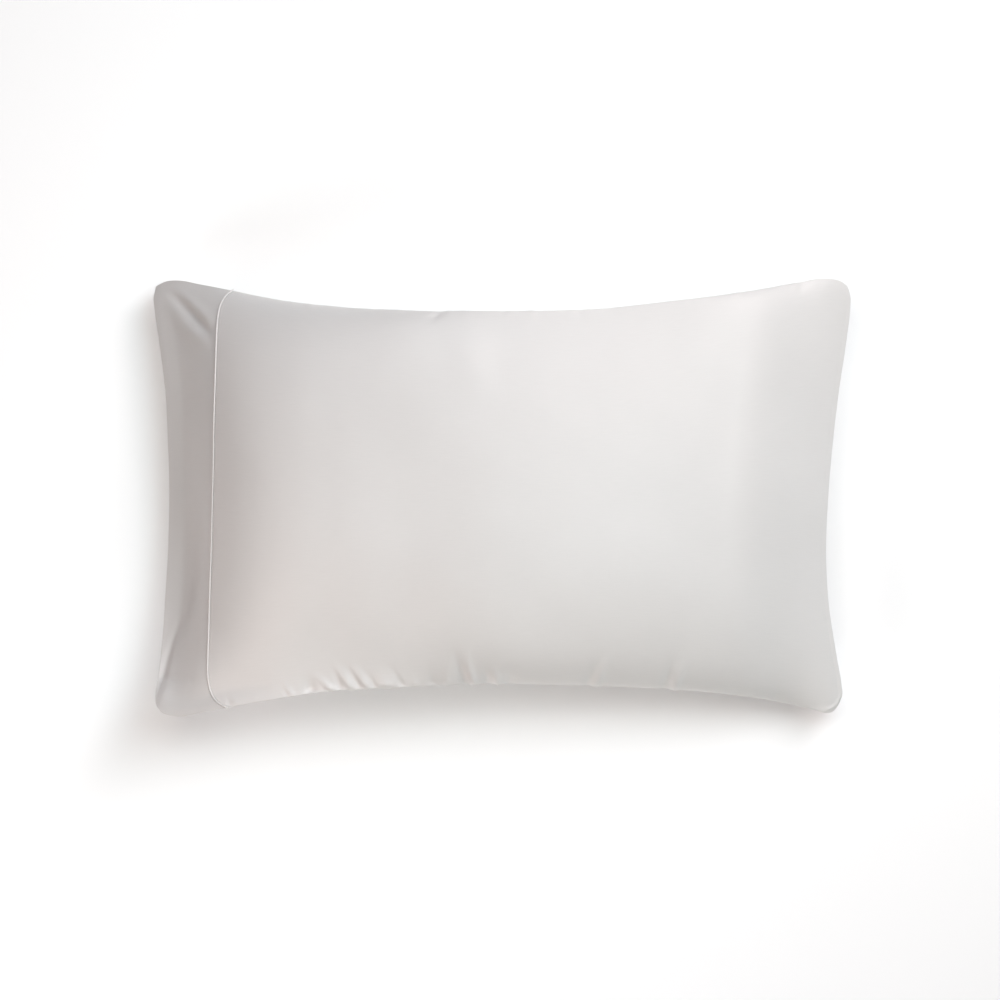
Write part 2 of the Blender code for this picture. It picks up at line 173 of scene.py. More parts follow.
# The groove that the cord lies in, from its seam outwards: the cloth hugs the cord up to its
# middle and falls away softly from there. Sinking is the share of the cord's own sinking into
# the rest face that each line of it follows.
GROOVE = (
    # out,    lift,    sinking
    (0.00000, -0.00110, 1.00),
    (0.00062, -0.00075, 1.00),
    (0.00083, 0.00005, 0.80),
    (0.00125, 0.00012, 0.00),
    (0.00220, 0.00003, 0.00),
)
SEWN_GAP = 0.0005              # between the cuff and the body, inside the seam
PIPING_X = -0.3020             # the piping half way across the case
PIPING_SLANT = 0.0054          # it leans this much towards the mouth at the front
PIPING_BOW = -0.0017
PIPING_HOOK_BACK = 0.0145      # it curls this much away from the mouth at the side seams
PIPING_HOOK_FRONT = 0.0230
PIPING_HOOK_POWER = 19
CASE_LENGTH = 0.728            # between the corners, filled
CUT_LENGTH, CUT_WIDTH = 0.762, 0.508

# ---- Puckers, creases and seam lines ----------------------------------------------------------
# Puckers where the drawn-in seams gather the cloth: where each stands on its seam, which seam
# (-1 front, 1 back), how far it reaches in, how far it leans along the case on the way, how far
# it curls back by its end, its half width and its height (a trough is negative).
PUCKERS = (
    # along,  seam, reach,  lean,   curl,  half_width, height
    (-0.2830, -1, 0.020, -0.006, 0.000, 0.0022, -0.0010),
    (-0.2760, -1, 0.020, -0.008, 0.000, 0.0028, 0.0008),
    (-0.2230, -1, 0.022, -0.010, -0.003, 0.0016, -0.0011),
    (-0.2180, -1, 0.024, -0.011, -0.003, 0.0026, 0.0018),
    (-0.1985, -1, 0.026, -0.003, -0.002, 0.0058, -0.0046),
    (-0.1765, -1, 0.026, -0.020, -0.003, 0.0042, 0.0040),
    (-0.1680, -1, 0.034, -0.008, -0.004, 0.0028, -0.0024),
    (-0.1560, -1, 0.036, -0.018, -0.006, 0.0044, 0.0044),
    (-0.1480, -1, 0.036, -0.016, -0.004, 0.0024, -0.0026),
    (-0.1395, -1, 0.034, -0.015, -0.008, 0.0042, 0.0042),
    (-0.1320, -1, 0.026, -0.010, -0.004, 0.0026, -0.0020),
    (-0.1190, -1, 0.026, -0.010, 0.000, 0.0085, 0.0042),
    (-0.1030, -1, 0.030, -0.014, -0.004, 0.0028, -0.0022),
    (-0.0900, -1, 0.018, -0.004, 0.000, 0.0046, 0.0016),
    (-0.0720, -1, 0.024, -0.002, 0.002, 0.0040, -0.0020),
    (-0.0570, -1, 0.032, 0.001, 0.002, 0.0040, 0.0024),
    (-0.0385, -1, 0.046, -0.016, 0.004, 0.0050, -0.0060),
    (-0.0275, -1, 0.044, -0.020, 0.012, 0.0034, 0.0058),
    (-0.0150, -1, 0.024, -0.003, 0.000, 0.0042, -0.0036),
    (-0.0035, -1, 0.024, -0.006, 0.000, 0.0036, 0.0052),
    (0.0080, -1, 0.026, 0.002, 0.000, 0.0060, -0.0034),
    (0.0880, -1, 0.044, 0.016, 0.004, 0.0040, -0.0042),
    (0.0970, -1, 0.046, 0.017, 0.004, 0.0034, 0.0044),
    (0.1710, -1, 0.046, 0.008, 0.003, 0.0040, -0.0042),
    (0.1800, -1, 0.048, 0.014, 0.004, 0.0036, 0.0044),
    (-0.0640, 1, 0.022, -0.016, 0.000, 0.0050, -0.0010),
    (0.0300, 1, 0.014, 0.004, 0.000, 0.0050, 0.0012),
    (0.0800, 1, 0.014, 0.004, 0.000, 0.0050, -0.0012),
    (0.3150, 1, 0.016, -0.006, 0.000, 0.0050, -0.0016),
)
PUCKER_AT_SEAM = 0.12          # share of a pucker's height that reaches the seam itself
PUCKER_SWELL = 0.22            # share of its reach over which the rest comes in
# Folds and creases of the upper face, and near the mouth of both its layers: their half widths
# to the left and to the right of the way they run, their height, how late on the way they stand
# highest (1 is half way), and the line that they follow, seen from above.
FOLDS = (
    # left, right, height, late, line of (x, y)
    (0.0050, 0.0090, 0.0027, 1.6, (
        (-0.361, 0.217), (-0.343, 0.195), (-0.330, 0.179), (-0.307, 0.158),
    )),
    (0.0050, 0.0048, -0.0030, 1.6, (
        (-0.358, 0.220), (-0.346, 0.212), (-0.334, 0.200), (-0.305, 0.170),
    )),
    (0.0060, 0.0045, 0.0022, 1.7, (
        (-0.355, 0.222), (-0.340, 0.215), (-0.327, 0.205), (-0.303, 0.182),
    )),
    (0.0170, 0.0115, -0.0048, 0.9, (
        (-0.361, -0.204), (-0.357, -0.181), (-0.348, -0.144),
        (-0.337, -0.113), (-0.330, -0.066), (-0.329, -0.010),
    )),
    (0.0030, 0.0042, -0.0022, 0.7, (
        (-0.363, -0.221), (-0.360, -0.202), (-0.352, -0.160), (-0.341, -0.123),
    )),
    (0.0280, 0.0100, 0.0045, 1.0, ((-0.357, -0.190), (-0.358, -0.212), (-0.354, -0.236))),
    (0.0160, 0.0080, -0.0026, 1.0, (
        (-0.352, -0.207), (-0.330, -0.211), (-0.290, -0.202), (-0.240, -0.193),
    )),
    (0.0200, 0.0200, 0.0014, 1.0, ((-0.048, 0.210), (-0.018, 0.090))),
    (0.0034, 0.0034, -0.0009, 1.0, ((-0.080, 0.184), (-0.070, 0.188), (-0.058, 0.194))),
    (0.0060, 0.0060, -0.0003, 1.0, ((-0.278, -0.111), (-0.240, -0.114), (-0.205, -0.113))),
    (0.0016, 0.0016, 0.0012, 1.0, ((0.338, -0.227), (0.352, -0.220), (0.359, -0.208))),
)
FOLD_EASE = 0.7                # how bluntly a fold starts and ends
LAYERS_TOGETHER = 0.035        # this far in from the mouth, its two layers still fold as one
LINE_STEPS = 8                 # straight pieces between two points of a fold's line
SEAM_LINE_IN = 0.0042          # the sewn end's seam shows as a line this far inside its edge
SEAM_LINE_HALF = 0.0009
SEAM_LINE_DEPTH = 0.0002
SMALL_GATHERS = (
    # seam or end,  count,  from,   to,   reach,  half_width, height
    ("back", 46, -0.280, 0.340, 0.013, 0.0034, 0.00080),
    ("front", 40, -0.300, 0.340, 0.013, 0.0032, 0.00050),
    ("sewn end", 30, -0.205, 0.205, 0.013, 0.0034, 0.00050),
)
GATHER_SEED = 11
GATHER_PLACES = (0.1, 0.9)     # where in its pitch a gather may stand
GATHER_REACHES = (0.6, 1.5)    # times its reach above
GATHER_LEAN = 0.4              # the most that it leans either way, as a share of its reach
UNEVEN_WAVES = 16
UNEVEN_LENGTHS = (0.045, 0.150)
UNEVEN_USUAL_LENGTH = 0.1      # a wave this long is as high as the unevenness that is asked for
UNEVEN_SEED = 5

# ---- Fineness of the cloth --------------------------------------------------------------------
ACROSS_STEPS = 150
ACROSS_CROWDING = 0.96         # 1 would crowd the steps hardest at the side seams
CUFF_STEPS = 34
LIP_STEP = 0.005               # share of the cuff that a narrow first row at its lip takes
# Stations along the body, from the piping to the sewn end: where each stretch ends, as a share
# of the way, and in how many steps.
BODY_STRETCHES = (
    # end,  steps
    (0.020, 8),
    (0.480, 124),
    (0.982, 108),
    (0.9995, 16),
    (1.000, 1),
)
PIPING_SIDES = 14
SLOPE_STEP_X = 0.0005          # steps over which the skin's slopes are measured
SLOPE_STEP_ACROSS = 0.004
WELD = 0.000001

# ---- Fineness of cord, thread and paper -------------------------------------------------------
STITCH_CLEAR = 0.0007          # from the groove's rim to the line of the stitches
STITCH_SHARE = 0.72            # share of a stitch's length that shows, the rest is in its holes
STITCH_ARCH = 1.5              # how far it arches and how deep it starts, in thread radii
STITCH_SUNK = 0.9
STITCH_TAPER = (0.25, 0.85, 1, 1, 0.85, 0.25)
STITCH_SIDES = 6
WRINKLE_DEPTH = 0.00025        # of the piping's cover
THREAD_TWIST = 0.0009          # from one turn of a ply to the next
PLY_DEPTH = 0.00005
TOOTH_DEPTH = 0.00002          # of the floor's paper


def smooth_column(rows, column, at):
    """A table's column at the places in at: cubics through its rows, with matching slopes."""
    table = np.array(rows)
    knots, values = table[:, 0], table[:, column]
    slopes = np.gradient(values, knots)
    first = np.clip(np.searchsorted(knots, at) - 1, 0, len(knots) - 2)
    span = knots[first + 1] - knots[first]
    t = (at - knots[first]) / span
    start, end = values[first], values[first + 1]
    into, out_of = slopes[first] * span, slopes[first + 1] * span
    return (
        start * (1 + 2 * t) * (1 - t) ** 2
        + into * t * (1 - t) ** 2
        + end * (3 - 2 * t) * t ** 2
        + out_of * t ** 2 * (t - 1)
    )


def mouth_x(across):
    return -smooth_column(ENDS, 1, across)


def sewn_end_x(across):
    return smooth_column(ENDS, 2, across)


def piping_x(across):
    """The piping's place along the case: slanted, bowed, and curled at the two side seams."""
    hook = np.where(across > 0, PIPING_HOOK_BACK, PIPING_HOOK_FRONT)
    return (
        PIPING_X + PIPING_SLANT * across + PIPING_BOW * across ** 2
        + hook * np.abs(across) ** PIPING_HOOK_POWER
    )


def aslant(across):
    """How much further than straight across to the piping a step along x has to be."""
    low = np.maximum(across - SLOPE_STEP_ACROSS, -1)
    high = np.minimum(across + SLOPE_STEP_ACROSS, 1)
    slant = (piping_x(high) - piping_x(low)) / (high - low) / SIDE_SEAMS[0][BACK]
    return np.sqrt(1 + slant ** 2)


def groove_rows(across, toward):
    """The groove's lines along x, from its seam outwards, and how far each is lifted. Toward is
    1 on the body and -1 on the cuff."""
    out, lift, _ = np.array(GROOVE).T[..., None]
    x = piping_x(across) + toward * (SEWN_GAP / 2 + out * aslant(across))
    return x, lift + np.zeros_like(x)


def side_rise(across, along, side):
    """Share of the rise across the case, none at the two side seams."""
    rounding = UNDER_ROUND
    if side == UPPER:
        rounding = np.where(
            across > 0,
            smooth_column(SIDE_SEAMS, BACK_ROUND, along),
            smooth_column(SIDE_SEAMS, FRONT_ROUND, along),
        )
    return np.clip(1 - np.abs(across) ** SIDE_POWER, 0, 1) ** rounding


def bare_skin(x, across, side):
    """Points of the filled case before it puckers, from x along it and across it (-1 to 1).

    The waist is the sheet that the four edges lie in. The upper face rises from it to the
    middle line's height, and the under face hangs from it down to the surface that it lies on.
    """
    mouth, sewn = mouth_x(across), sewn_end_x(across)
    share = np.clip((x - mouth) / (sewn - mouth), 0, 1)
    along = 2 * share - 1
    back = smooth_column(SIDE_SEAMS, BACK, along)
    front = -smooth_column(SIDE_SEAMS, FRONT, along)
    to_back = (across + 1) / 2
    y = front + (back - front) * to_back

    end_height = np.where(along < 0, MIDDLE_LINE[0][1], MIDDLE_LINE[-1][1])
    middle_waist = SEAM_HEIGHT + (end_height - SEAM_HEIGHT) * along ** END_LIFT_POWER
    seam_up = (
        smooth_column(SIDE_SEAMS, BACK_UP, along) * to_back
        + smooth_column(SIDE_SEAMS, FRONT_UP, along) * (1 - to_back)
    )
    waist = middle_waist + (SEAM_HEIGHT + seam_up - middle_waist) * across ** 2
    spread = np.clip(1 - (x - mouth) / MOUTH_SPREAD_REACH, 0, 1) ** 2
    edge = SEAM_HALF + MOUTH_SPREAD * (1 - across ** 4) * spread
    rise = (smooth_column(MIDDLE_LINE, 1, share) - middle_waist) * side_rise(across, along, side)
    if side == UPPER:
        return np.stack([x, y, waist + edge + rise], -1)
    hang = waist - edge - UNDER_HANG * rise
    blended = (hang + FLOOR_BLEND) ** 2 / (4 * FLOOR_BLEND)
    settled = np.where(hang > FLOOR_BLEND, hang, np.where(hang < -FLOOR_BLEND, 0, blended))
    return np.stack([x, y, settled], -1)


def outward(x, across, side):
    """Unit normals of the bare skin, from its slopes along x and along across."""
    low_x = np.maximum(x - SLOPE_STEP_X, mouth_x(across))
    high_x = np.minimum(x + SLOPE_STEP_X, sewn_end_x(across))
    low = np.maximum(across - SLOPE_STEP_ACROSS, -1)
    high = np.minimum(across + SLOPE_STEP_ACROSS, 1)
    along_case = bare_skin(high_x, across, side) - bare_skin(low_x, across, side)
    over_case = bare_skin(x, high, side) - bare_skin(x, low, side)
    normal = side * np.cross(along_case, over_case)
    return normal / np.linalg.norm(normal, axis=-1, keepdims=True)


def gathered(place, way_in, start, lean, curl, half_width, height):
    """One pucker: a Gaussian ridge across its place along a seam, which swells off the seam by a
    quarter sine and dies away with the square of the way left to its reach. Its line leans with
    the way in and curls with the square of it."""
    swell = np.sin(np.pi / 2 * np.clip(way_in / PUCKER_SWELL, 0, 1))
    size = height * (PUCKER_AT_SEAM + (1 - PUCKER_AT_SEAM) * swell) * (1 - way_in) ** 2
    middle = start + lean * way_in + curl * way_in ** 2
    return size * np.exp(-((place - middle) / half_width) ** 2)


def distance_in(points, edge_name, side=UPPER):
    """How far points lie inside a long seam or the sewn end: across the case as seen from above,
    and on the under face also down it."""
    x, y, z = points[..., 0], points[..., 1], points[..., 2]
    if edge_name == "sewn end":
        across = np.clip(y / SIDE_SEAMS[-1][BACK], -1, 1)
        inside = sewn_end_x(across) - x
        height = MIDDLE_LINE[-1][1]
    else:
        along = np.clip(2 * x / CASE_LENGTH, -1, 1)
        seam, edge, up = (1, BACK, BACK_UP) if edge_name == "back" else (-1, FRONT, FRONT_UP)
        inside = smooth_column(SIDE_SEAMS, edge, along) - seam * y
        height = SEAM_HEIGHT + smooth_column(SIDE_SEAMS, up, along)
    return inside if side == UPPER else inside + np.maximum(height - z, 0)


def pucker_height(points, side, strength):
    """The sum of the listed puckers."""
    total = np.zeros(points.shape[:-1])
    for start, seam, reach, lean, curl, half_width, height in PUCKERS:
        inside = distance_in(points, "back" if seam > 0 else "front", side)
        way_in = np.clip(inside / reach, 0, 1)
        size = height * strength
        total += gathered(points[..., 0], way_in, start, lean, curl, half_width, size)
    return total


def gather_height(points, side, strength):
    """The sum of the small gathers that the needle leaves along the seams, spaced by chance."""
    chance = np.random.default_rng(GATHER_SEED)
    total = np.zeros(points.shape[:-1])
    for edge_name, count, low, high, reach, half_width, height in SMALL_GATHERS:
        place = points[..., 1] if edge_name == "sewn end" else points[..., 0]
        inside = distance_in(points, edge_name, side)
        pitch = (high - low) / count
        starts = low + pitch * (np.arange(count) + chance.uniform(*GATHER_PLACES, count))
        reaches = reach * chance.uniform(*GATHER_REACHES, count)
        heights = height * strength * chance.uniform(-1.0, 1.0, count)
        leans = reach * chance.uniform(-GATHER_LEAN, GATHER_LEAN, count)
        for start, far, size, lean in zip(starts, reaches, heights, leans):
            way_in = np.clip(inside / far, 0, 1)
            total += gathered(place, way_in, start, lean, 0.0, half_width, size)
    return total


def fold_line(corners):
    """A smooth line through a fold's points: cubics along the run of their straight lengths."""
    corners = np.array(corners)
    run = np.concatenate([[0], np.cumsum(np.linalg.norm(np.diff(corners, axis=0), axis=1))])
    rows = np.column_stack([run, corners])
    at = np.linspace(0, run[-1], LINE_STEPS * (len(corners) - 1) + 1)
    return np.stack([smooth_column(rows, 1, at), smooth_column(rows, 2, at)], -1)


def fold_height(points, strength):
    """Folds: Gaussian ridges and troughs about smooth lines, easing in and out along them."""
    total = np.zeros(points.shape[:-1])
    for left, right, height, late, corners in FOLDS:
        line = fold_line(corners)
        pieces = len(line) - 1
        nearest = np.full(points.shape[:-1], np.inf)
        share = np.zeros(points.shape[:-1])
        half_width = np.full(points.shape[:-1], left)
        for index in range(pieces):
            run = line[index + 1] - line[index]
            offset = points[..., :2] - line[index]
            way = np.clip(offset @ run / (run @ run), 0, 1)
            gap = np.linalg.norm(offset - way[..., None] * run, axis=-1)
            to_left = run[0] * offset[..., 1] - run[1] * offset[..., 0] > 0
            closer = gap < nearest
            share = np.where(closer, (index + way) / pieces, share)
            half_width = np.where(closer, np.where(to_left, left, right), half_width)
            nearest = np.minimum(gap, nearest)
        ease = np.sin(np.pi * np.clip(share, 0, 1) ** late) ** FOLD_EASE
        total += height * strength * np.exp(-(nearest / half_width) ** 2) * ease
    return total


def uneven_height(points, height):
    """The filling's unevenness: slow waves of 45 to 150 mm in directions taken by chance."""
    chance = np.random.default_rng(UNEVEN_SEED)
    total = np.zeros(points.shape[:-1])
    shortest, longest = UNEVEN_LENGTHS
    for _ in range(UNEVEN_WAVES):
        length, heading, phase = chance.uniform((shortest, 0, 0), (longest, np.pi, 2 * np.pi))
        along_wave = points[..., 0] * np.cos(heading) + points[..., 1] * np.sin(heading)
        total += length * np.sin(2 * np.pi * along_wave / length + phase)
    return height * total / (UNEVEN_USUAL_LENGTH * np.sqrt(UNEVEN_WAVES / 2))


def skin(x, across, side, lift=0.0):
    """Points of the case's skin with all its relief, and lifted off it by a distance.

    The relief is laid along the bare skin's normals. It fades where the case lies on the
    surface, so that its rest area stays flat.
    """
    sizes = bpy.context.scene.pillowcase_sizes
    points = bare_skin(x, across, side)
    relief = pucker_height(points, side, sizes.pucker_strength)
    relief += gather_height(points, side, sizes.pucker_strength)
    relief += uneven_height(points, sizes.unevenness)
    from_line = (distance_in(points, "sewn end") - SEAM_LINE_IN) / SEAM_LINE_HALF
    relief -= SEAM_LINE_DEPTH * np.exp(-from_line ** 2)
    folds = fold_height(points, sizes.fold_strength)
    together = np.clip(1 - (x - mouth_x(across)) / LAYERS_TOGETHER, 0, 1)
    relief += folds if side == UPPER else -folds * together
    off_floor = np.clip(points[..., 2] / FLOOR_BLEND, 0, 1) ** 2
    return points + outward(x, across, side) * (relief * off_floor + lift)[..., None]


def sunk(x, across):
    """How far the piping sinks into the under face where the case rests on it. The groove there
    is this much deeper too."""
    sizes = bpy.context.scene.pillowcase_sizes
    height = bare_skin(x, across, UNDER)[..., 2]
    return (sizes.piping_radius + PIPING_STAND) * np.clip(1 - height / FLOOR_BLEND, 0, 1)


def groove_sinking(x, across):
    """How far each line of the groove sinks with the cord: its rim stays on the rest face."""
    return np.array(GROOVE)[:, 2:] * sunk(x, across)


def across_stations():
    """Places across the case from -1 to 1, closer together towards the steep side seams."""
    turn = np.linspace(-1, 1, ACROSS_STEPS + 1) * np.pi / 2 * ACROSS_CROWDING
    return np.sin(turn) / np.sin(turn[-1])


def body_stations():
    """Shares of the way from the piping to the sewn end."""
    shares = [np.zeros(1)]
    start = 0.0
    for end, steps in BODY_STRETCHES:
        shares.append(np.linspace(start, end, steps + 1)[1:])
        start = end
    return np.concatenate(shares)


def edge_points(upper, under, out_x):
    """Points midway between two faces. Along the borders they stand out a little, round: by
    out_x on the rows' own ends, and away from the middle on the two side seams."""
    rows, columns = upper.shape[:2]
    out = np.zeros((rows, columns, 3))
    out[..., 0] = np.asarray(out_x)[:, None]
    out[:, 0, 1], out[:, -1, 1] = -1, 1
    length = np.linalg.norm(out, axis=-1, keepdims=True)
    return (upper + under) / 2 + SEAM_NOSE * out / np.maximum(length, 1)


def cut_place(x, across, side):
    """Where a point of the skin lay on the flat cut cloth, in metres: stretched to the cut's
    length and width, with a separate place for the under face."""
    return np.stack([
        x * CUT_LENGTH / CASE_LENGTH,
        across * CUT_WIDTH / 2,
        np.broadcast_to(np.float64(side), np.shape(x)),
    ], -1)


def make_piece(name, sheets, material):
    """A closed mesh from grids of points: each grid is a pair of points (rows, columns, 3) and
    its place on the cut cloth, joined into quads, and all are welded along their borders."""
    points, places, faces = [], [], []
    first = 0
    for grid, place in sheets:
        rows, columns = grid.shape[:2]
        index = first + np.arange(rows * columns).reshape(rows, columns)
        ring = (index[:-1, :-1], index[:-1, 1:], index[1:, 1:], index[1:, :-1])
        faces.append(np.stack(ring, -1).reshape(-1, 4))
        points.append(grid.reshape(-1, 3))
        places.append(np.broadcast_to(place, grid.shape).reshape(-1, 3))
        first += rows * columns
    mesh = bpy.data.meshes.new(name)
    mesh.from_pydata(np.concatenate(points).tolist(), [], np.concatenate(faces).tolist())
    cut = mesh.attributes.new("cut", "FLOAT_VECTOR", "POINT")
    cut.data.foreach_set("vector", np.concatenate(places).astype(np.float32).ravel())

    shell = bmesh.new()
    shell.from_mesh(mesh)
    bmesh.ops.remove_doubles(shell, verts=shell.verts, dist=WELD)
    bmesh.ops.recalc_face_normals(shell, faces=shell.faces)
    shell.to_mesh(mesh)
    shell.free()
    mesh.shade_smooth()
    mesh.materials.append(material)
    piece = bpy.data.objects.new(name, mesh)
    bpy.context.scene.collection.objects.link(piece)
    return piece


# ---- Shader maths -----------------------------------------------------------------------------
class Socket:
    """An output of a node. Arithmetic with it adds Math nodes to its tree."""

    def __init__(self, board, output):
        self.board = board
        self.output = output

    def math(self, operation, *others):
        return self.board.node("Math", {"operation": operation}, (self, *others))

    def __add__(self, other):
        return self.math("ADD", other)

    def __sub__(self, other):
        return self.math("SUBTRACT", other)

    def __mul__(self, other):
        return self.math("MULTIPLY", other)

    def sine(self):
        return self.math("SINE")


class Board:
    """A material's node tree, with one method that adds any node to it."""

    def __init__(self, name):
        self.material = bpy.data.materials.new(name)
        self.material.use_nodes = True
        self.tree = self.material.node_tree
        self.shader = self.tree.nodes["Principled BSDF"]

    def node(self, kind, settings=None, values=(), output=0):
        """Add a node: its settings first, then the values or links of its sockets, by place in
        a sequence or by name in a dict. Gives the socket of its output."""
        node = self.tree.nodes.new("ShaderNode" + kind)
        for key, setting in (settings or {}).items():
            if key == "stops":
                self.set_stops(node.color_ramp, setting)
            else:
                setattr(node, key, setting)
        pairs = values.items() if isinstance(values, dict) else enumerate(values)
        for key, value in pairs:
            self.feed(node.inputs[key], value)
        return Socket(self, node.outputs[output])

    def feed(self, target, value):
        if isinstance(value, Socket):
            self.tree.links.new(value.output, target)
        else:
            target.default_value = value

    def set_stops(self, ramp, stops):
        for place, level in stops[2:]:
            ramp.elements.new(place)
        for element, (place, level) in zip(ramp.elements, stops):
            element.position = place
            element.color = (level, level, level, 1)

    def finish(self, settings, values):
        """Set the shader's own values, and link what varies over the surface."""
        for key, value in {**settings, **values}.items():
            self.feed(self.shader.inputs[key], value)
        return self.material


def bumped(board, height, distance, normal=None):
    """A Bump node that tilts the normal by a height in metres, on top of another's."""
    values = {"Strength": 1.0, "Distance": distance, "Height": height}
    if normal:
        values["Normal"] = normal
    return board.node("Bump", None, values)


def toned(board, colour, tone):
    """A colour times a tone that varies over the surface."""
    shade = board.node("CombineColor", None, (tone, tone, tone))
    return board.node(
        "Mix", {"data_type": "RGBA", "blend_type": "MULTIPLY"},
        {0: 1.0, 6: (*colour, 1.0), 7: shade}, output=2,
    )


def cut_axes(board):
    """The place on the cut cloth as a vector, and its parts across and along it."""
    cut = board.node("Attribute", {"attribute_name": "cut"}, output="Vector")
    across, along = (board.node("SeparateXYZ", None, (cut,), output=axis) for axis in "YX")
    return cut, across, along


def satin_material(name, colour, looks):
    """Woven satin: long floats over a fine twill, faint slubs, and a slow drift of tone.

    The floats are waves across the cut cloth at the thread pitch, broken every few threads. The
    slubs and the ends are noise drawn out along the weft and the warp. All of them tilt the
    normal, and the slubs and the ends shift the roughness too.
    """
    board = Board(name)
    cut, across, along = cut_axes(board)
    place = board.node("TexCoord", output="Object")
    pitch = looks.thread_pitch

    floats = (across * (2 * np.pi / pitch)).sine()
    step = along * (2 * np.pi / (pitch * looks.float_threads)) + across * (2 * np.pi / pitch / 2)
    weave = floats * 0.7 + step.sine() * 0.3

    drawn = board.node("Mapping", None, {"Vector": cut, "Scale": (60, 900, 1)})
    slub = board.node("TexNoise", None, {"Vector": drawn, "Scale": 1.0, "Detail": 3.0})
    warp = board.node("Mapping", None, {"Vector": cut, "Scale": (700, 45, 1)})
    ends = board.node("TexNoise", None, {"Vector": warp, "Scale": 1.0, "Detail": 2.0})
    ripple = board.node("TexNoise", None, {"Vector": place, "Scale": 42.0, "Detail": 2.0})
    drift = board.node("TexNoise", None, {"Vector": place, "Scale": 7.0, "Detail": 2.0})

    normal = bumped(board, weave, looks.weave_depth)
    normal = bumped(board, slub + ends, looks.slub_depth, normal)
    normal = bumped(board, ripple, looks.ripple_depth, normal)

    tone = (slub - 0.5) * 0.05 + (drift - 0.5) * 0.10 + 1.0
    roughness = (slub - 0.5) * 0.10 + (ends - 0.5) * 0.06 + looks.roughness
    return board.finish(
        {"Metallic": 0.0, "Specular IOR Level": 0.5, "Sheen Weight": looks.sheen,
         "Sheen Roughness": 0.4},
        {"Base Color": toned(board, colour, tone), "Roughness": roughness, "Normal": normal},
    )


def cord_material(name, colour, looks):
    """The piping's cover: bias-cut satin, whose threads and small wrinkles run aslant round it."""
    board = Board(name)
    cut, around, along = cut_axes(board)
    aslant = (along + around) * (2 * np.pi / looks.thread_pitch)
    threads = aslant.sine()
    drawn = board.node("Mapping", None, {"Vector": cut, "Scale": (500, 120, 1),
                                         "Rotation": (0, 0, np.pi / 4)})
    wrinkle = board.node("TexNoise", None, {"Vector": drawn, "Scale": 1.0, "Detail": 2.0})
    normal = bumped(board, threads, looks.weave_depth)
    normal = bumped(board, wrinkle, WRINKLE_DEPTH, normal)
    tone = (wrinkle - 0.5) * 0.16 + 1.0
    roughness = (wrinkle - 0.5) * 0.1 + 0.34
    return board.finish(
        {"Metallic": 0.0, "Specular IOR Level": 0.5, "Sheen Weight": looks.sheen},
        {"Base Color": toned(board, colour, tone), "Roughness": roughness, "Normal": normal},
    )


def thread_material(name, colour):
    """Spun polyester thread: a two-ply twist along each stitch, and a few raised fibres."""
    board = Board(name)
    cut, around, along = cut_axes(board)
    twist = along * (2 * np.pi / THREAD_TWIST) + around * (2 * np.pi)
    plies = twist.sine()
    fuzz = board.node("TexNoise", None, {"Vector": cut, "Scale": 4000.0, "Detail": 2.0})
    normal = bumped(board, plies + fuzz, PLY_DEPTH)
    tone = plies * 0.04 + (fuzz - 0.5) * 0.1 + 0.98
    return board.finish(
        {"Metallic": 0.0, "Specular IOR Level": 0.3, "Sheen Weight": 0.2},
        {"Base Color": toned(board, colour, tone), "Roughness": fuzz * 0.2 + 0.45, "Normal": normal},
    )


def floor_material(name, colour):
    """A matt paper floor with a barely visible tooth."""
    board = Board(name)
    place = board.node("TexCoord", output="Object")
    tooth = board.node("TexNoise", None, {"Vector": place, "Scale": 900.0, "Detail": 3.0})
    return board.finish(
        {"Base Color": (*colour, 1.0), "Metallic": 0.0, "Specular IOR Level": 0.0},
        {"Roughness": tooth * 0.1 + 0.9, "Normal": bumped(board, tooth, TOOTH_DEPTH)},
    )


# ---- What a user would change -----------------------------------------------------------------
def a_length(name, description, default, low, high):
    return FloatProperty(
        name=name, description=description, default=default, min=low, max=high,
        unit="LENGTH", precision=6,
    )


def a_share(name, description, default, low, high):
    return FloatProperty(
        name=name, description=description, default=default, min=low, max=high, subtype="FACTOR",
    )


def a_colour(name, description, default):
    return FloatVectorProperty(
        name=name, description=description, default=default, min=0.0, max=1.0, subtype="COLOR",
    )


class PillowcaseSizes(bpy.types.PropertyGroup):
    pucker_strength: a_share(
        "Pucker strength", "How high the puckers along the seams stand", 1.0, 0.0, 1.5,
    )
    fold_strength: a_share(
        "Fold strength", "How high the folds of the cuff and the body stand", 1.0, 0.0, 1.5,
    )
    unevenness: a_length(
        "Unevenness", "Height of the filling's slow waves under the cloth", 0.00020, 0.0, 0.002,
    )
    piping_radius: a_length(
        "Piping radius", "Half the thickness of the piping cord", 0.0010, 0.0005, 0.002,
    )
    stitch_length: a_length(
        "Stitch length", "From needle hole to needle hole beside the piping", 0.0027, 0.0015, 0.005,
    )
    thread_radius: a_length(
        "Thread radius", "Half the thickness of the sewing thread", 0.00017, 0.0001, 0.0004,
    )


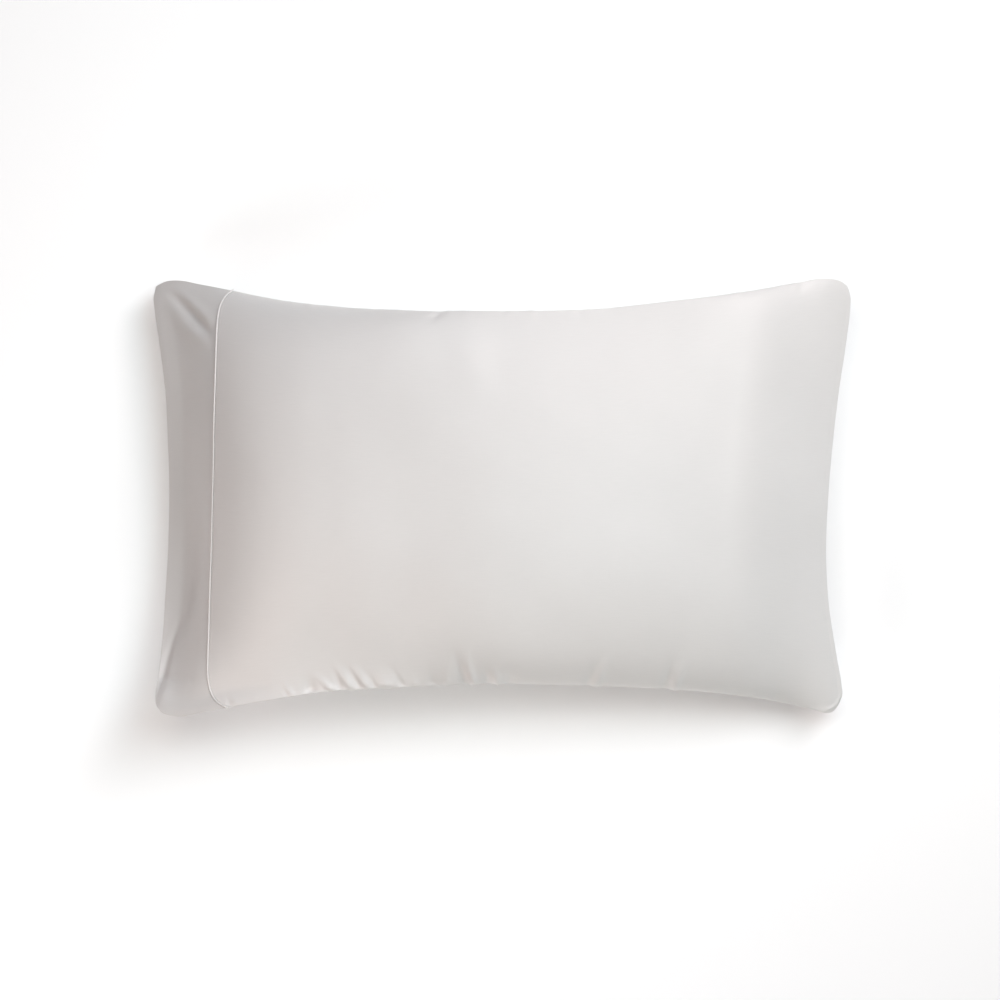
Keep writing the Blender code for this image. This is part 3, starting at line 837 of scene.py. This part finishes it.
class PillowcaseLooks(bpy.types.PropertyGroup):
    satin_colour: a_colour("Satin", "Colour of the body and the cuff", (0.80, 0.785, 0.77))
    # Painted shade: the cuff's satin is a darker copy of the body's, the body's colour times this
    # share.
    cuff_painted_shade: a_share("Cuff painted shade", "Painted shade: share of the body's satin colour on the cuff", 0.9, 0.5, 1.2)
    # Painted highlight: the piping's cover is the body's satin, made lighter than it for the bright
    # line along the cord.
    piping_colour_and_painted_highlight: a_colour("Piping", "Colour of the piping's cover, lightened as painted highlight", (0.88, 0.865, 0.85))
    thread_colour: a_colour("Thread", "Colour of the sewing thread", (0.80, 0.78, 0.76))
    roughness: a_share("Roughness", "Roughness of the satin between its threads", 0.42, 0.0, 1.0)
    sheen: a_share("Sheen", "Soft glow of the satin at grazing angles", 0.08, 0.0, 1.0)
    thread_pitch: a_length(
        "Thread pitch", "From one thread of the satin to the next", 0.00040, 0.0001, 0.002,
    )
    float_threads: IntProperty(
        name="Float", description="How many threads each thread of the face floats over",
        default=8, min=2, max=16,
    )
    weave_depth: a_length(
        "Weave depth", "Height of one thread of the weave above the next", 0.000012, 0.0, 0.0002,
    )
    slub_depth: a_length(
        "Slub depth", "Height of the thicker places in the threads", 0.00003, 0.0, 0.0005,
    )
    ripple_depth: a_length(
        "Ripple depth", "Height of the cloth's soft ripples over the filling", 0.00025, 0.0, 0.002,
    )


class PillowcaseStage(bpy.types.PropertyGroup):
    floor_colour: a_colour("Floor", "Colour of the floor", (0.93, 0.93, 0.93))
    light_strength: a_share(
        "Light strength", "Strength of all the studio lights together", 1.0, 0.0, 4.0,
    )
    camera_height: a_length(
        "Camera height", "Height of the camera above the case's seams", 4.0, 1.0, 10.0,
    )


# ---- Pieces -----------------------------------------------------------------------------------
def dress(piece, node):
    """Hang a piece on the root body, and hide the solid that it stands for."""
    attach(piece, "root")
    if node:
        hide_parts(node)


class PILLOWCASE_OT_body(bpy.types.Operator):
    """Make the case's body: both faces from the piping to the sewn end, one closed surface"""
    bl_idname = "pillowcase.body"
    bl_label = "Body"

    def execute(self, context):
        across = across_stations()
        groove_x, groove_lift = groove_rows(across, 1)
        rim = groove_x[-1]
        share = body_stations()[1:, None]
        x = np.vstack([groove_x, rim + share * (sewn_end_x(across) - rim)])
        lift = np.zeros_like(x)
        lift[:len(groove_x)] = groove_lift
        spread = np.broadcast_to(across, x.shape)
        upper = skin(x, spread, UPPER, lift)
        lift[:len(groove_x)] -= groove_sinking(rim, across)
        under = skin(x, spread, UNDER, lift)
        out_x = np.zeros(len(x))
        out_x[-1] = 1
        edges = edge_points(upper, under, out_x)
        place = cut_place(x, spread, UPPER)

        sheets = [(upper, place), (under, cut_place(x, spread, UNDER))]
        for border in (np.s_[:, 0], np.s_[:, -1], np.s_[0], np.s_[-1]):
            sheets.append((
                np.stack([upper[border], edges[border], under[border]]), place[border],
            ))
        looks = context.scene.pillowcase_looks
        body = make_piece("body_cloth", sheets, satin_material("body satin", looks.satin_colour, looks))
        dress(body, "case_body")
        return {"FINISHED"}


class PILLOWCASE_OT_cuff(bpy.types.Operator):
    """Make the hem cuff: both layers from the mouth to the piping, apart at the mouth's slit"""
    bl_idname = "pillowcase.cuff"
    bl_label = "Cuff"

    def execute(self, context):
        across = across_stations()
        mouth = mouth_x(across)
        groove_x, groove_lift = groove_rows(across, -1)
        rim = groove_x[-1]
        depth = SLIT_DEPTH * (1 - np.abs(across) ** SLIT_DEPTH_POWER)
        half_gap = SLIT_HALF * (1 - np.abs(across) ** SLIT_HALF_POWER)
        share = np.concatenate([[0, LIP_STEP], np.linspace(0, 1, CUFF_STEPS + 1)[1:-1]])[:, None]
        x = np.vstack([mouth + share * (rim - mouth), groove_x[::-1]])
        lift = np.zeros_like(x)
        lift[-len(groove_x):] = groove_lift[::-1]
        spread = np.broadcast_to(across, x.shape)
        upper = skin(x, spread, UPPER, lift)
        lift[-len(groove_x):] -= groove_sinking(rim, across)[::-1]
        under = skin(x, spread, UNDER, lift)
        edges = edge_points(upper, under, np.zeros(len(x)))

        way_in, opening = np.array(SLIT_PROFILE).T[..., None]
        slit_x = mouth + way_in * depth
        slit_across = np.broadcast_to(across, slit_x.shape)
        middle = (skin(slit_x, slit_across, UPPER) + skin(slit_x, slit_across, UNDER)) / 2
        apart = np.zeros_like(middle)
        apart[..., 2] = opening * half_gap
        place = cut_place(x, spread, UPPER)
        sheets = [(upper, place), (under, cut_place(x, spread, UNDER))]
        for face, side in ((upper, UPPER), (under, UNDER)):
            lining = middle + side * apart
            lining[:, (0, -1)] = edges[0, (0, -1)]
            lip = (face[0] + lining[0]) / 2 - np.array([SEAM_NOSE, 0, 0])
            lip[[0, -1]] = edges[0, (0, -1)]
            sheets.append((lining, cut_place(slit_x, slit_across, side)))
            sheets.append((np.stack([face[0], lip, lining[0]]), place[0]))
        for border in (np.s_[:, 0], np.s_[:, -1], np.s_[-1]):
            sheets.append((
                np.stack([upper[border], edges[border], under[border]]), place[border],
            ))
        looks = context.scene.pillowcase_looks
        # Painted shade: the cuff's colour is the body's satin darkened by the cuff's share.
        colour = [looks.cuff_painted_shade * channel for channel in looks.satin_colour]
        cuff = make_piece("cuff_cloth", sheets, satin_material("cuff satin", colour, looks))
        dress(cuff, "hem_cuff")
        return {"FINISHED"}


def seam_path(lift, x_offset=0.0, sinking=1.0):
    """A closed line once round the case beside or on the piping: over the upper face, round the
    back seam, under the case and round the front seam. Sinking is the share of the cord's own
    sinking that it follows into the rest face. Gives its points, and unit vectors that point
    out of the case there."""
    across = across_stations()
    x = piping_x(across) + x_offset
    stand = np.full_like(x, lift)
    over = skin(x, across, UPPER, stand)
    beneath = skin(x, across, UNDER, stand - sinking * sunk(x, across))[::-1]
    turn_out = np.array([[0, 1, 0], [0, -1, 0]])
    turns = (over[[-1, 0]] + beneath[[0, -1]]) / 2 + PIPING_TURN * turn_out
    upper_normals, under_normals = outward(x, across, UPPER), outward(x, across, UNDER)[::-1]
    path = np.concatenate([over, turns[:1], beneath, turns[1:]])
    return path, np.concatenate([upper_normals, turn_out[:1], under_normals, turn_out[1:]])


def path_frame(path, normals):
    """Unit tangents of a closed path, and two unit vectors across it, the first the normal."""
    ahead = np.roll(path, -1, axis=0) - path
    ahead /= np.linalg.norm(ahead, axis=1, keepdims=True)
    tangent = ahead + np.roll(ahead, 1, axis=0)
    tangent /= np.linalg.norm(tangent, axis=1, keepdims=True)
    normals = normals - tangent * np.sum(normals * tangent, axis=1, keepdims=True)
    normals /= np.linalg.norm(normals, axis=1, keepdims=True)
    return tangent, normals, np.cross(tangent, normals)


class PILLOWCASE_OT_piping(bpy.types.Operator):
    """Make the piping: a round cord carried once round the case in the groove of its seam"""
    bl_idname = "pillowcase.piping"
    bl_label = "Piping"

    def execute(self, context):
        sizes, looks = context.scene.pillowcase_sizes, context.scene.pillowcase_looks
        path, normals = seam_path(PIPING_STAND)
        tangent, normals, sideways = path_frame(path, normals)
        turn = np.linspace(0, 2 * np.pi, PIPING_SIDES + 1)[:, None, None]
        tube = path + sizes.piping_radius * (np.cos(turn) * normals + np.sin(turn) * sideways)
        run = np.cumsum(np.linalg.norm(path - np.roll(path, 1, axis=0), axis=1))
        place = np.zeros_like(tube)
        place[..., 0] = run
        place[..., 1] = turn[..., 0] * sizes.piping_radius
        closed = np.concatenate([tube, tube[:, :1]], axis=1)
        closed_place = np.concatenate([place, place[:, :1]], axis=1)
        # Painted highlight: the cover's colour is lighter than the body's satin.
        cover = cord_material("piping satin", looks.piping_colour_and_painted_highlight, looks)
        cord = make_piece("piping_cord", [(closed, closed_place)], cover)
        dress(cord, "cuff_piping")
        return {"FINISHED"}


class PILLOWCASE_OT_stitches(bpy.types.Operator):
    """Make the stitches that hold the piping: short arched threads along the body's edge"""
    bl_idname = "pillowcase.stitches"
    bl_label = "Stitches"

    def execute(self, context):
        sizes, looks = context.scene.pillowcase_sizes, context.scene.pillowcase_looks
        path, normals = seam_path(0.0, GROOVE[-1][0] + SEWN_GAP / 2 + STITCH_CLEAR, 0.0)
        run = np.cumsum(np.linalg.norm(path - np.roll(path, 1, axis=0), axis=1))
        stitch_count = int(run[-1] / sizes.stitch_length)
        starts = np.arange(stitch_count) * run[-1] / stitch_count
        way = np.linspace(0, STITCH_SHARE, len(STITCH_TAPER))
        at = starts[:, None] + way * sizes.stitch_length
        line = np.stack([np.interp(at, run, path[:, k], period=run[-1]) for k in range(3)], -1)
        stand = np.stack([np.interp(at, run, normals[:, k], period=run[-1]) for k in range(3)], -1)
        stand /= np.linalg.norm(stand, axis=-1, keepdims=True)
        arch = np.sin(np.pi * way / way[-1]) * STITCH_ARCH - STITCH_SUNK
        line = line + stand * (arch * sizes.thread_radius)[:, None]
        ahead = np.gradient(line, axis=1)
        ahead /= np.linalg.norm(ahead, axis=-1, keepdims=True)
        sideways = np.cross(ahead, stand)
        taper = np.array(STITCH_TAPER) * sizes.thread_radius
        turn = np.linspace(0, 2 * np.pi, STITCH_SIDES + 1)[:, None, None, None]
        tube = line + taper[:, None] * (np.cos(turn) * stand + np.sin(turn) * sideways)

        sheets = []
        for index in range(stitch_count):
            place = np.zeros_like(tube[:, index])
            place[..., 0], place[..., 1] = at[index], turn[:, 0, :, 0] / (2 * np.pi)
            sheets.append((tube[:, index], place))
            for end in (0, -1):
                rim = tube[:, index, end]
                tip = np.broadcast_to(rim[:-1].mean(axis=0), rim.shape)
                sheets.append((np.stack([rim, tip]), place[:, end]))
        thread = thread_material("sewing thread", looks.thread_colour)
        stitches = make_piece("piping_stitches", sheets, thread)
        dress(stitches, None)
        return {"FINISHED"}


# ---- Stage ------------------------------------------------------------------------------------
# Large soft lights: what each is set to light, its heading in degrees from +X towards +Y, its
# height above the horizon, its power and its colour. The powers and colours were fitted to the
# photo's tones by least squares. The backdrop is lit apart from the case, as in a studio.
LIGHTS = (
    # lights,  heading, height, watts, colour
    ("case", 45, 45, 28.0, (1.0, 0.91, 0.90)),
    ("case", 90, 45, 8.0, (0.85, 0.92, 1.0)),
    ("case", 225, 45, 16.4, (1.0, 0.80, 0.74)),
    ("case", 270, 45, 6.5, (0.92, 1.0, 0.94)),
    ("case", 0, 70, 11.6, (0.71, 0.94, 1.0)),
    ("floor", 180, 20, 4.9, (1.0, 0.53, 0.59)),
    ("floor", 225, 20, 23.8, (0.94, 1.0, 0.98)),
    ("floor", 270, 20, 7.8, (0.90, 0.85, 1.0)),
    ("floor", 0, 45, 4.1, (1.0, 0.60, 0.42)),
    ("floor", 45, 45, 24.9, (0.96, 0.97, 1.0)),
    ("floor", 45, 70, 17.3, (0.83, 0.96, 1.0)),
    ("floor", 90, 70, 2.7, (0.77, 0.89, 1.0)),
    ("floor", 135, 70, 10.5, (1.0, 0.94, 0.87)),
    ("floor", 270, 70, 4.6, (1.0, 0.90, 0.74)),
)
LIGHT_DISTANCE = 2.2
LIGHT_WIDTH = 1.0              # each is a square panel
LIGHT_TARGET = Vector((0.0, 0.0, 0.1))
SEEN_WIDTH_AT_SEAMS = 1.05     # metres of the picture's width, at the height of the seams
CAMERA_AIM = (-0.0021, -0.0026)
CAMERA_BASE = 0.08             # the height at which the camera sees that width
SENSOR = 36.0                  # millimetres
FLOOR_HALF = 4.0


def make_floor(colour):
    """A square grid of the floor, flat at z = 0, of two steps each way."""
    line = np.linspace(-FLOOR_HALF, FLOOR_HALF, 3)
    x, y = np.meshgrid(line, line)
    points = np.stack([x, y, np.zeros_like(x)], -1)
    floor = make_piece("floor", [(points, points)], floor_material("floor paper", colour))
    return floor


def make_light(lit, heading, height, watts, colour):
    """A square panel at its heading and height, turned to the case, that lights one set."""
    name = f"{lit.name} light {heading} {height}"
    light = bpy.data.lights.new(name, "AREA")
    light.shape = "SQUARE"
    light.size = LIGHT_WIDTH
    light.energy = watts
    light.color = colour
    lamp = bpy.data.objects.new(name, light)
    turn, rise = np.radians(heading), np.radians(height)
    toward = Vector((np.cos(turn) * np.cos(rise), np.sin(turn) * np.cos(rise), np.sin(rise)))
    lamp.location = LIGHT_TARGET + LIGHT_DISTANCE * toward
    lamp.rotation_euler = toward.to_track_quat("Z", "Y").to_euler()
    lamp.light_linking.receiver_collection = lit
    bpy.context.scene.collection.objects.link(lamp)


def make_camera(height):
    """A camera straight above the case, that sees the set width at the height of its seams."""
    camera = bpy.data.cameras.new("camera")
    camera.sensor_width = SENSOR
    camera.lens = SENSOR * height / SEEN_WIDTH_AT_SEAMS
    eye = bpy.data.objects.new("camera", camera)
    eye.location = (*CAMERA_AIM, height + CAMERA_BASE)
    bpy.context.scene.collection.objects.link(eye)
    bpy.context.scene.camera = eye


class PILLOWCASE_OT_stage(bpy.types.Operator):
    """Set the stage: a pale floor, soft studio lights and the camera straight above"""
    bl_idname = "pillowcase.stage"
    bl_label = "Stage"

    def execute(self, context):
        stage = context.scene.pillowcase_stage
        lit = {"case": bpy.data.collections.new("case"), "floor": bpy.data.collections.new("floor")}
        for piece in context.scene.objects:
            if piece.type == "MESH":
                lit["case"].objects.link(piece)
        lit["floor"].objects.link(make_floor(stage.floor_colour))
        for name, heading, height, watts, colour in LIGHTS:
            make_light(lit[name], heading, height, watts * stage.light_strength, colour)
        make_camera(stage.camera_height)
        world = bpy.data.worlds.new("studio")
        world.use_nodes = True
        world.node_tree.nodes["Background"].inputs["Strength"].default_value = 0.0
        context.scene.world = world
        context.scene.view_settings.view_transform = "Standard"
        return {"FINISHED"}


OPERATORS = (
    PILLOWCASE_OT_body,
    PILLOWCASE_OT_cuff,
    PILLOWCASE_OT_piping,
    PILLOWCASE_OT_stitches,
    PILLOWCASE_OT_stage,
)
GROUPS = {
    "pillowcase_sizes": PillowcaseSizes,
    "pillowcase_looks": PillowcaseLooks,
    "pillowcase_stage": PillowcaseStage,
}


class PILLOWCASE_PT_panel(bpy.types.Panel):
    """Sizes, colours and steps of the filled pillowcase"""
    bl_idname = "PILLOWCASE_PT_panel"
    bl_label = "Filled Pillowcase"
    bl_space_type = "VIEW_3D"
    bl_region_type = "UI"
    bl_category = "Pillowcase"

    def draw(self, context):
        for name, group in GROUPS.items():
            column = self.layout.column()
            for key in group.__annotations__:
                column.prop(getattr(context.scene, name), key)
        for operator in OPERATORS:
            self.layout.operator(operator.bl_idname)


def register():
    for made in (*GROUPS.values(), *OPERATORS, PILLOWCASE_PT_panel):
        bpy.utils.register_class(made)
    for name, group in GROUPS.items():
        setattr(bpy.types.Scene, name, PointerProperty(type=group))


def unregister():
    for name in GROUPS:
        delattr(bpy.types.Scene, name)
    for made in (PILLOWCASE_PT_panel, *reversed(OPERATORS), *GROUPS.values()):
        bpy.utils.unregister_class(made)


def main():
    register()
    bpy.ops.pillowcase.body()
    bpy.ops.pillowcase.cuff()
    bpy.ops.pillowcase.piping()
    bpy.ops.pillowcase.stitches()
    bpy.ops.pillowcase.stage()


if __name__ == "__main__":
    main()
